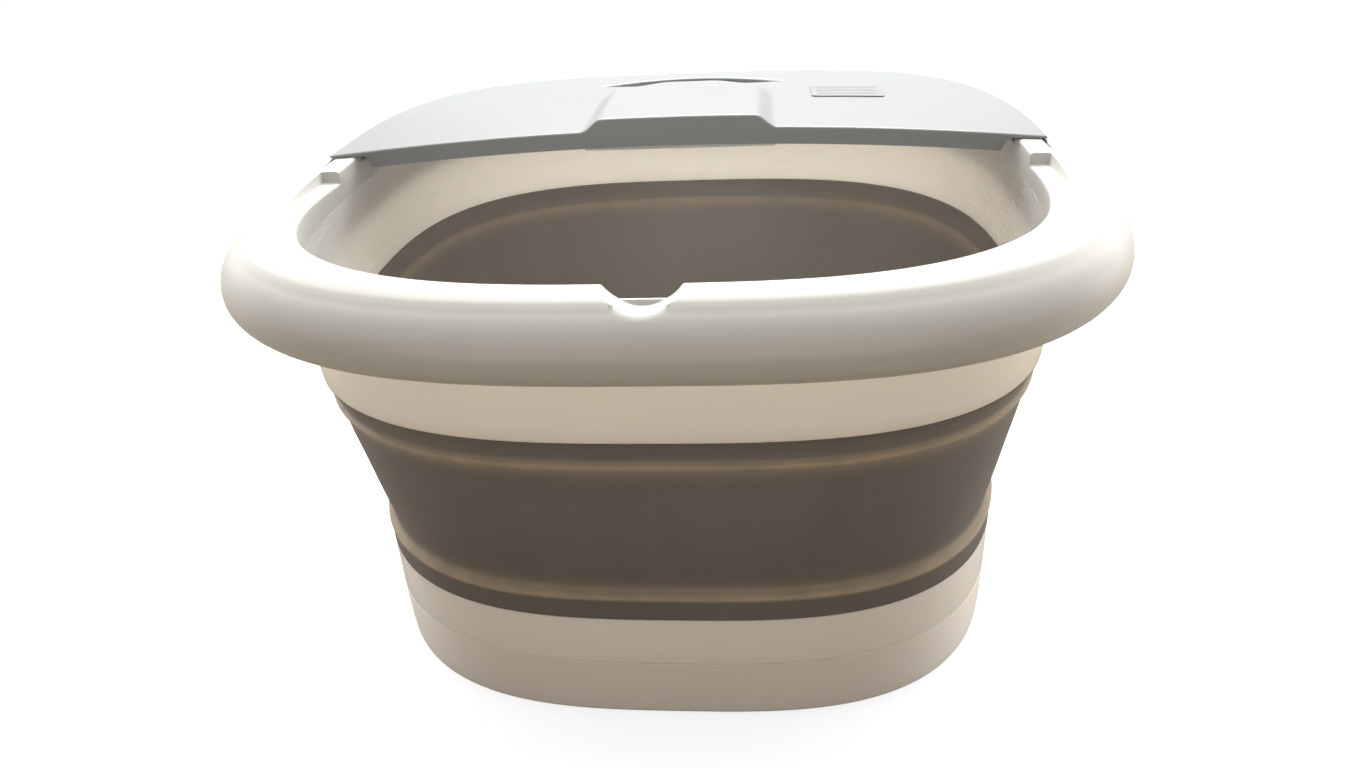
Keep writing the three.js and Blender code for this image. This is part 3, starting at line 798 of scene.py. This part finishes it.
def make_base():
    low = SHELL_LOW[2]
    profile = rounded([
        (138, 128, low, 0.5),
        (158.6, 148.6, low, 1.2),
        (160.4, 150.4, 2.2, 2),
        (160.9, 150.9, 10, 4),
        (161.0, 151.0, SHELL_TOP, 0.7),
        (158, 148, SHELL_TOP, 0.4),
        (157, 147, 10, 3),
        (155, 145, 5, 3),
        (138, 128, 5, 0.5),
    ], 6)
    shell = ring_solid("base_housing", profile)
    cutters = []
    for node in BUTTONS:
        lo, hi = node_box(node)
        x, z = (lo[0] + hi[0]) / 2, (lo[2] + hi[2]) / 2
        cutters.append(turned("hole", [(0, -20), (7.3, -20), (7.3, 20), (0, 20)], (x, 150, z), "y", 56))
    lo, hi = node_box("mains_inlet")
    cutters.append(box_mesh("hole", (lo[0] + 2.7, 130, lo[2] + 2.7), (hi[0] - 2.7, 170, hi[2] - 2.7)))
    for i in range(4):
        lo, hi = node_box(f"foot_{i + 1}")
        x, y = (lo[0] + hi[0]) / 2, (lo[1] + hi[1]) / 2
        cutters.append(turned("hole", [(0, -2), (7.3, -2), (7.3, 3.6), (0, 3.6)], (x, y, 0), "z", 48))
    cut(shell, *cutters)
    finish_shading(shell, 32)
    place(shell, BASE_WHITE, "base_shell")


def make_feet():
    for i in range(4):
        node = f"foot_{i + 1}"
        lo, hi = node_box(node)
        x, y = (lo[0] + hi[0]) / 2, (lo[1] + hi[1]) / 2
        profile = round_profile([
            (0, 0.5), (1.6, 0.5, 0.2), (1.9, 0.05, 0.15), (3.4, 0.05, 0.15), (3.7, 0.5, 0.2),
            (4.3, 0.5, 0.2), (4.6, 0, 0.2), (6.9, 0, 0.5), (7.0, 3.3, 0.3), (0, 3.3)], 3)
        place(turned(f"pad_{i + 1}", profile, (x, y, 0), "z", 56), FOOT_RUBBER, node)


def make_buttons():
    for node in BUTTONS:
        lo, hi = node_box(node)
        x, z = (lo[0] + hi[0]) / 2, (lo[2] + hi[2]) / 2
        back, front = lo[1], hi[1]
        profile = round_profile([
            (0, back), (8.6, back, 0.3), (8.6, back + 2.2, 0.3), (7.0, back + 2.2, 0.2),
            (6.95, front - 0.1, 0.7), (5.6, front, 0.6), (3.6, front - 0.7, 1.5), (0, front - 0.9)], 5)
        button = turned(node + "_cap", profile, (x, 0, z), "y", 64)
        if node == "power_button":
            ring = [(2.1, front - 0.9), (2.1, front - 0.45), (2.6, front - 0.4), (2.6, front - 0.9)]
            mark = turned("power_mark", ring, (x, 0, z), "y", 48)
        else:
            ring = [(0, front - 0.95), (0.9, front - 0.95), (0.8, front - 0.45), (0, front - 0.4)]
            mark = turned("mode_mark", ring, (x, 0, z), "y", 32)
        place(button, BUTTON_GREY, node)
        place(mark, DARK_PLASTIC, body=BODY_OF[node])


def make_rollers():
    """Massage rollers: a drum with seven rings of six rounded knobs."""
    around, along = 96, 160
    radius, knob_rise, bore = 7.2, 2.7, 3.2
    lobes, rows = 6, 7
    for node in sorted(ROLLERS):
        lo, hi = node_box(node)
        y, z = (lo[1] + hi[1]) / 2, (lo[2] + hi[2]) / 2
        x0, x1 = lo[0], hi[0]
        verts, faces = [], []
        for j in range(along + 1):
            t = j / along
            x = lerp(x0, x1, t)
            taper = min(1.0, (min(t, 1 - t) * (x1 - x0) / 1.2)) ** 0.5 if 0 < j < along else 0.0
            for i in range(around):
                a = TAU * i / around
                row = t * rows
                phase = math.pi / lobes * (int(min(row, rows - 1e-6)) % 2)
                knob = max(0.0, math.cos(lobes * (a + phase))) * max(0.0, math.sin(math.pi * (row % 1.0)))
                r = radius + knob_rise * smooth(0.25, 0.95, knob)
                r = lerp(radius - 1.2, r, taper)
                verts.append((x, y + r * math.cos(a), z + r * math.sin(a)))
        for j in range(along):
            for i in range(around):
                a = j * around + i
                b = j * around + (i + 1) % around
                faces.append((a, b, b + around, a + around))
        base = len(verts)
        for x in (x0, x1):
            for i in range(around):
                a = TAU * i / around
                verts.append((x, y + bore * math.cos(a), z + bore * math.sin(a)))
        for i in range(around):
            k = (i + 1) % around
            faces.append((i, k, base + k, base + i))
            last = along * around
            faces.append((last + k, last + i, base + around + i, base + around + k))
            faces.append((base + i, base + k, base + around + k, base + around + i))
        place(solid(node + "_drum", verts, faces, 50), ROLLER_GREY, node)


# ------------------------------------------------------------------ rear deck

DECK_EDGE_Z = 231.0
DECK_FRONT_Z = 238.9
DECK_FRONT_Y = 9.0
DECK_BOW = 7.0
BLOCK_W = 38.5
BLOCK_SLOPE = 11.0
BLOCK_RISE = DECK_HIGH[2] - DECK_FRONT_Z
BLOCK_END = 78.0
SLOT_W, SLOT_Y = 55.0, 127.0
SLOT_FRONT, SLOT_REAR = 6.0, 20.0
GRIP_RISE = 2.3


def deck_front(x):
    return DECK_FRONT_Y - DECK_BOW * (x / DECK_W) ** 2


def deck_crown(x, y):
    across = 230 + (DECK_FRONT_Z - 230) * (1 - min(1.0, (x / 200) ** 2))
    back = min(1.0, max(0.0, (y - DECK_FRONT_Y) / (DECK_D - DECK_FRONT_Y)))
    return DECK_EDGE_Z + max(0.6, across - DECK_EDGE_Z) * (1 - back * back)


def deck_top(x, y):
    block_x = 1 - smooth(BLOCK_W, BLOCK_W + BLOCK_SLOPE, abs(x))
    block_y = 1 - smooth(BLOCK_END, BLOCK_END + 30, y)
    grip = (1 - smooth(12, 36, abs(x))) * smooth(84, 110, y) * (1 - smooth(122, 132, y))
    return deck_crown(x, y) + BLOCK_RISE * block_x * block_y + GRIP_RISE * grip


def resampled(points, step):
    """A closed outline with points at an even step."""
    lengths = [0.0]
    ring = points + points[:1]
    for a, b in zip(ring, ring[1:]):
        lengths.append(lengths[-1] + math.dist(a, b))
    count = max(8, round(lengths[-1] / step))
    out, k = [], 0
    for i in range(count):
        goal = lengths[-1] * i / count
        while lengths[k + 1] < goal:
            k += 1
        t = (goal - lengths[k]) / max(1e-9, lengths[k + 1] - lengths[k])
        out.append((lerp(ring[k][0], ring[k + 1][0], t), lerp(ring[k][1], ring[k + 1][1], t)))
    return out


def deck_outline(by):
    """The deck's plan outline, drawn in by the given amount."""
    w, d = DECK_W - by, DECK_D - by
    points = []
    for i in range(181):
        x = lerp(w, -w, i / 180)
        points.append((x, deck_front(x) + by))
    for i in range(1, 400):
        x, y = plan(w, d, math.pi * (1 - i / 400))
        if y > deck_front(x) + by:
            points.append((x, y))
    return resampled(points, 1.6)


def slot_outline(by):
    """The hand slot: a lens with pointed ends, bowed most to the rear, widened by the given amount."""
    points = []
    for side, bow in ((-1, SLOT_FRONT), (1, SLOT_REAR)):
        for i in range(80):
            x = lerp(-SLOT_W, SLOT_W, i / 80) * -side
            y = SLOT_Y + side * bow * (1 - (x / SLOT_W) ** 2)
            grown = by * min(1.0, (1 - abs(x) / SLOT_W) * 8)
            points.append((x * (SLOT_W + by * 1.5) / SLOT_W, y + side * grown))
    return resampled(points[::-1], 1.3)


EDGE_DROPS = [(0.0, 1.2), (0.12, 0.75), (0.4, 0.36), (0.8, 0.12), (1.3, 0.0), (2.2, 0.0)]
SLOT_DROPS = [(0.0, 1.6), (0.15, 1.0), (0.55, 0.45), (1.1, 0.12), (1.8, 0.0)]


def deck_grid():
    """Points inside the deck, closer together where the raised block's sides slope."""
    xs, x = [], 0.0
    while x < DECK_W:
        xs.append(x)
        x += 1.1 if 36 < x < 51 else 3.2
    points = []
    y = 4.0
    while y < DECK_D:
        for x in xs:
            points.append((x, y))
            if x:
                points.append((-x, y))
        y += 2.2 if 76 < y < 134 else 3.2
    return points


def inside(point, ring):
    """Whether a point lies within a closed outline."""
    x, y = point
    hit = False
    for (x0, y0), (x1, y1) in zip(ring, ring[1:] + ring[:1]):
        if (y0 > y) != (y1 > y) and x < (x1 - x0) * (y - y0) / (y1 - y0) + x0:
            hit = not hit
    return hit


def make_deck():
    """The deck's cover: a triangulated top with eased edges, its underside, and the walls between."""
    points, loops, drop = [], [], []
    for outline, table in ((deck_outline, EDGE_DROPS), (slot_outline, SLOT_DROPS)):
        for offset, down in table:
            start = len(points)
            ring = outline(offset)
            points.extend(ring)
            drop.extend([down] * len(ring))
            loops.append((start, len(ring)))
    inner, outer_slot = deck_outline(3.2), slot_outline(2.8)
    for p in deck_grid():
        if inside(p, inner) and not inside(p, outer_slot):
            points.append(p)
            drop.append(0.0)
    edges = []
    for start, n in loops:
        edges.extend((start + k, start + (k + 1) % n) for k in range(n))
    flat, _, tris, origin = geometry.delaunay_2d_cdt([Vector(p) for p in points], edges, [], 0, 1e-5)[:4]
    edge_ring = deck_outline(0.0)
    hole_ring = slot_outline(0.0)
    kept = []
    for tri in tris:
        cx = sum(flat[i].x for i in tri) / 3
        cy = sum(flat[i].y for i in tri) / 3
        if inside((cx, cy), edge_ring) and not inside((cx, cy), hole_ring):
            kept.append(tuple(tri))
    tops, bottoms = [], []
    for i, p in enumerate(flat):
        down = min(drop[k] for k in origin[i]) if origin[i] else 0.0
        z = deck_top(p.x, p.y) - down
        tops.append((p.x, p.y, z))
        bottoms.append((p.x, p.y, deck_underside(p.x, p.y)))
    n = len(flat)
    verts = tops + bottoms
    faces = list(kept) + [tuple(n + i for i in reversed(tri)) for tri in kept]
    seen = {}
    for a, b, c in kept:
        for e in ((a, b), (b, c), (c, a)):
            seen[e] = True
    for a, b in seen:
        if (b, a) not in seen:
            faces.append((b, a, n + a, n + b))
    deck = solid("deck_cover", verts, faces, 34)
    place(deck, DECK_WHITE, "rear_deck")


def deck_underside(x, y):
    """The deck is a skin with a deep front lip and a shallow foot that sits on the rim's seat."""
    skin = deck_top(x, y) - 3.0
    from_front = y - deck_front(x)
    lip = deck_crown(x, y) - 8.5
    z = lerp(lip, skin, smooth(2.6, 3.2, from_front))
    if abs(x) > 158:
        arch = SIDE_TOP + 0.35
        z = lerp(z, max(z, arch), smooth(158, 161, abs(x)) if y < SEAT_Y + 0.6 else 0.0)
    edge = max((abs(x) / (DECK_W - 5)) ** 3 + (max(y, 0) / (DECK_D - 5)) ** 3, 0)
    if edge > 1 and y > SEAT_Y + 0.6:
        z = SEAT_Z + 0.3
    return z


def make_latch():
    """The thin catch strip under the deck's raised front, with a small pip at its middle."""
    lo, hi = node_box("latch_strip")
    half = hi[0]
    front, back = 12.6, 14.4
    verts, faces = [], []
    steps = 60
    for i in range(steps + 1):
        x = lerp(-half, half, i / steps)
        pip = 0.9 * (1 - smooth(1.2, 2.2, abs(x)))
        y0 = front - pip * 0.8
        ring = [(y0, lo[2]), (back, lo[2]), (back, hi[2]), (front, hi[2]), (front, lo[2] + 2.0),
                (y0, lo[2] + 1.4)]
        verts.extend((x, y, z) for y, z in ring)
    m = 6
    for i in range(steps):
        for j in range(m):
            a, b = i * m + j, i * m + (j + 1) % m
            faces.append((a, b, b + m, a + m))
    faces.append(tuple(range(m)))
    faces.append(tuple(steps * m + k for k in range(m - 1, -1, -1)))
    strip = solid("catch_strip", verts, faces)
    bevel(strip, 0.25, 2, 50)
    finish_shading(strip)
    place(strip, RIM_WHITE, "latch_strip")


def make_label():
    lo, hi = node_box("label_plate")
    nx, ny = 60, 44
    radius = 2.0
    verts, faces = [], []
    for layer in (0.56, 0.3):
        for j in range(ny + 1):
            for i in range(nx + 1):
                x, y = lerp(lo[0], hi[0], i / nx), lerp(lo[1], hi[1], j / ny)
                cx = min(max(x, lo[0] + radius), hi[0] - radius)
                cy = min(max(y, lo[1] + radius), hi[1] - radius)
                far = math.dist((x, y), (cx, cy))
                if far > radius:
                    x = cx + (x - cx) * radius / far
                    y = cy + (y - cy) * radius / far
                verts.append((x, y, deck_top(x, y) + layer))
    row = nx + 1
    size = row * (ny + 1)
    for j in range(ny):
        for i in range(nx):
            a = j * row + i
            faces.append((a, a + 1, a + 1 + row, a + row))
            faces.append((size + a + row, size + a + row + 1, size + a + 1, size + a))
    for i in range(nx):
        for a, b in ((i, i + 1), (ny * row + i + 1, ny * row + i)):
            faces.append((b, a, size + a, size + b))
    for j in range(ny):
        for a, b in (((j + 1) * row, j * row), (j * row + nx, (j + 1) * row + nx)):
            faces.append((b, a, size + a, size + b))
    label = solid("blank_label", verts, faces, 40)
    bars = []
    for v in label.data.vertices:
        u = (v.co.x / MM - lo[0]) / (hi[0] - lo[0])
        w = (v.co.y / MM - lo[1]) / (hi[1] - lo[1])
        on = any(abs(w - c) < 0.075 for c in (0.22, 0.5, 0.78)) and 0.08 < u < 0.92
        bars.append(1.0 if on else 0.0)
    label.data.attributes.new("bar", "FLOAT", "POINT").data.foreach_set("value", bars)
    place(label, LABEL_FILM, "label_plate")


# ------------------------------------------------------------------ small and inner pieces

def make_small():
    soft = {
        "mains_inlet": (DARK_PLASTIC, 0.5, 3),
        "bubble_strip": (ROLLER_GREY, 0.35, 3),
        "base_cover": (BASE_WHITE, 0.4, 2),
        "air_pump": (DARK_PLASTIC, 1.2, 4),
        "air_hose": (DARK_PLASTIC, 0.1, 2),
        "thermostat": (STEEL, 0.4, 3),
        "heater_plate": (ALUMINIUM, 0.4, 3),
        "control_board": (BOARD_GREEN, 0.25, 2),
    }
    for node, (material, width, segments) in soft.items():
        place(softened(node, width, segments), material, node)
    for node in sorted(frame["nodes"]):
        if node.startswith("roller_axle"):
            lo, hi = node_box(node)
            r = (hi[2] - lo[2]) / 2
            y, z = (lo[1] + hi[1]) / 2, (lo[2] + hi[2]) / 2
            profile = round_profile([(0, lo[0]), (r, lo[0], 0.6), (r, hi[0], 0.6), (0, hi[0])], 3)
            place(turned(node + "_pin", profile, (0, y, z), "x", 48), STEEL, node)
        elif node.startswith("inlet_pin"):
            lo, hi = node_box(node)
            r = (hi[0] - lo[0]) / 2
            x, z = (lo[0] + hi[0]) / 2, (lo[2] + hi[2]) / 2
            profile = round_profile([(0, lo[1]), (r, lo[1], 0.3), (r, hi[1], 0.3), (0, hi[1])], 3)
            place(turned(node + "_rod", profile, (x, 0, z), "y", 32), PIN_STEEL, node)
        elif node.startswith("cover_screw"):
            cover_screw(node)


def cover_screw(node):
    """A round-headed screw with a crossed slot and a threaded shank, head down."""
    lo, hi = node_box(node)
    x, y = (lo[0] + hi[0]) / 2, (lo[1] + hi[1]) / 2
    bottom, top = lo[2], hi[2]
    profile = [(0, bottom), (2.2, bottom, 0.5), (3.2, bottom + 0.6, 0.3), (3.2, bottom + 1.1, 0.2),
               (1.5, bottom + 1.1, 0.1)]
    turns = 11
    for k in range(turns):
        z = lerp(bottom + 2.2, top - 1.4, k / turns)
        profile += [(1.25, z, 0.05), (1.55, z + 0.5, 0.05)]
    profile += [(1.2, top - 1.0, 0.2), (0.3, top, 0.1), (0, top)]
    screw = turned(node + "_body", round_profile(profile, 2), (x, y, 0), "z", 36)
    for turn in (0, 1):
        size = (2.0, 0.35) if turn else (0.35, 2.0)
        low = (x - size[0], y - size[1], bottom - 1)
        high = (x + size[0], y + size[1], bottom + 0.6)
        cut(screw, box_mesh("blade", low, high))
    finish_shading(screw, 35)
    place(screw, STEEL, node)


# ------------------------------------------------------------------ studio

def area_light(name, size, power, location, target, colour, mirrored=True):
    """A soft box. One that isn't mirrored lights the basin but leaves no highlight on it."""
    data = bpy.data.lights.new(name, "AREA")
    data.shape = "RECTANGLE"
    data.size, data.size_y = size
    data.energy = power
    data.color = colour
    light = bpy.data.objects.new(name, data)
    light.location = location
    aim = Vector(target) - Vector(location)
    light.rotation_euler = aim.to_track_quat("-Z", "Y").to_euler()
    light.visible_glossy = mirrored
    bpy.context.scene.collection.objects.link(light)


def make_floor():
    """A white paper floor. Only the camera sees it white: the light it throws back at the basin is dim."""
    span = 6.0
    mesh = bpy.data.meshes.new("floor")
    corners = [(-span, -span, 0), (span, -span, 0), (span, span, 0), (-span, span, 0)]
    mesh.from_pydata(corners, [], [(0, 1, 2, 3)])
    floor = new_object("floor", mesh)
    m = Nodes("floor_paper", (0.17, 0.14, 0.105), 0.9, Specular_IOR_Level=0.1)
    m.colour(m.tint(m.ramp(m.noise(3, 3), 0.3, 0.7), (0.17, 0.14, 0.105), (0.155, 0.125, 0.095)))
    paper = m.add("ShaderNodeBsdfDiffuse")
    paper.inputs["Color"].default_value = (0.4, 0.4, 0.4, 1)
    glow = m.add("ShaderNodeEmission")
    glow.inputs["Strength"].default_value = 0.8
    seen = m.add("ShaderNodeAddShader")
    m.link(paper.outputs[0], seen.inputs[0])
    m.link(glow.outputs[0], seen.inputs[1])
    pick = m.add("ShaderNodeMixShader")
    m.link(m.add("ShaderNodeLightPath").outputs["Is Camera Ray"], pick.inputs[0])
    m.link(m.shader.outputs[0], pick.inputs[1])
    m.link(seen.outputs[0], pick.inputs[2])
    m.link(pick.outputs[0], m.tree.nodes["Material Output"].inputs["Surface"])
    floor.data.materials.append(m.material)


def make_studio():
    make_floor()
    world = bpy.data.worlds.new("studio")
    bpy.context.scene.world = world
    world.use_nodes = True
    sky_light(world.node_tree)
    middle, low, foot = (0, 0, 0.15), (0, 0, 0.08), (0, 0, 0.05)
    white, pale, warm = (1.0, 1.0, 0.98), (1.0, 0.98, 0.95), (1.0, 0.91, 0.80)
    area_light("key", (1.3, 0.7), 50, (0.0, 1.15, 1.45), middle, (1.0, 1.0, 0.99))
    area_light("top", (1.1, 0.6), 14, (0.0, 0.0, 1.7), middle, white, mirrored=False)
    area_light("back", (1.0, 0.3), 20, (0.0, 1.3, 0.2), middle, white, mirrored=False)
    area_light("front", (2.0, 0.3), 4.6, (0.0, -1.25, 0.1), foot, warm)
    area_light("left_side", (0.9, 0.4), 18, (-1.2, 0.5, 0.2), low, pale, mirrored=False)
    area_light("right_side", (0.9, 0.4), 20, (1.2, 0.5, 0.2), low, pale, mirrored=False)


def sky_light(tree):
    """A white room, brightest behind the basin and dim and warm towards the front."""
    back = tree.nodes["Background"]
    coord = tree.nodes.new("ShaderNodeTexCoord")
    parts = tree.nodes.new("ShaderNodeSeparateXYZ")
    tree.links.new(coord.outputs["Generated"], parts.inputs["Vector"])
    span = tree.nodes.new("ShaderNodeMapRange")
    span.inputs["From Min"].default_value = -0.7
    span.inputs["From Max"].default_value = 0.4
    span.inputs["To Min"].default_value = 0.0
    span.inputs["To Max"].default_value = 1.0
    tree.links.new(parts.outputs["Y"], span.inputs["Value"])
    mix = tree.nodes.new("ShaderNodeMix")
    mix.data_type = "RGBA"
    mix.inputs[6].default_value = (0.13, 0.112, 0.092, 1)
    mix.inputs[7].default_value = (0.88, 0.875, 0.86, 1)
    tree.links.new(span.outputs["Result"], mix.inputs[0])
    tree.links.new(mix.outputs[2], back.inputs["Color"])
    back.inputs["Strength"].default_value = 1.0


CAMERA_LENS = 25.3
CAMERA_PLACE = (0.04045, -0.46986, 0.36569)
CAMERA_AIM = (-0.08106, 0.86493, -0.49530)
CAMERA_UP = (0.00803, 0.49749, 0.86743)


def make_camera():
    """A wide lens close in front of the basin, about 30 degrees above it."""
    data = bpy.data.cameras.new("camera")
    data.sensor_width = 36.0
    data.lens = CAMERA_LENS
    camera = bpy.data.objects.new("camera", data)
    forward = Vector(CAMERA_AIM).normalized()
    right = forward.cross(Vector(CAMERA_UP)).normalized()
    up = right.cross(forward)
    rotation = Matrix((right, up, -forward)).transposed().to_4x4()
    camera.matrix_world = Matrix.Translation(CAMERA_PLACE) @ rotation
    bpy.context.scene.collection.objects.link(camera)
    bpy.context.scene.camera = camera


make_camera()
make_rim()
make_collar()
make_band()
make_tub()
make_base()
make_feet()
make_buttons()
make_rollers()
make_deck()
make_latch()
make_label()
make_small()
make_studio()

bpy.context.scene.view_settings.view_transform = "Standard"
